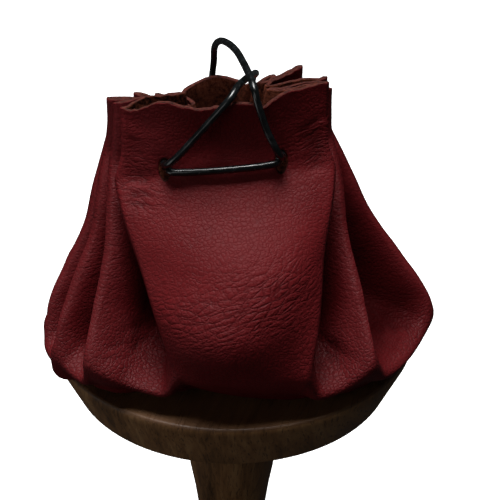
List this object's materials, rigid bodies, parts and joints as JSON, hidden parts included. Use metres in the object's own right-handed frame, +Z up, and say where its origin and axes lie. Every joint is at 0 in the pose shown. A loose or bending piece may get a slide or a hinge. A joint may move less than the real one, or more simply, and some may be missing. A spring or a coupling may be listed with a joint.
{
  "type": "leather drawstring pouch on a wooden stand",
  "caption": "Soft leather pouch gathered from one round piece by a black lace with a pull loop, standing on a turned wooden stand with a round top.",
  "frame": {"origin": "centre of the stand's foot, on the surface that it stands on", "axes": "+Z up along the stand's axis, -Y towards the pouch's front panel, +X to the right as seen from the front"},
  "size_m": [0.1165, 0.1124, 0.214],
  "materials": {
    "leather": "burgundy pebble-grained soft leather, suede inside, raw cut edge",
    "lace": "black waxed round lace, glossy",
    "wood": "dark brown turned hardwood, satin"
  },
  "bodies": {
    "root": {"pouch_body": "leather", "lace_threaded": "lace", "lace_loop": "lace", "stand_top": "wood", "stand_post": "wood", "stand_foot": "wood"}
  },
  "joints": []
}
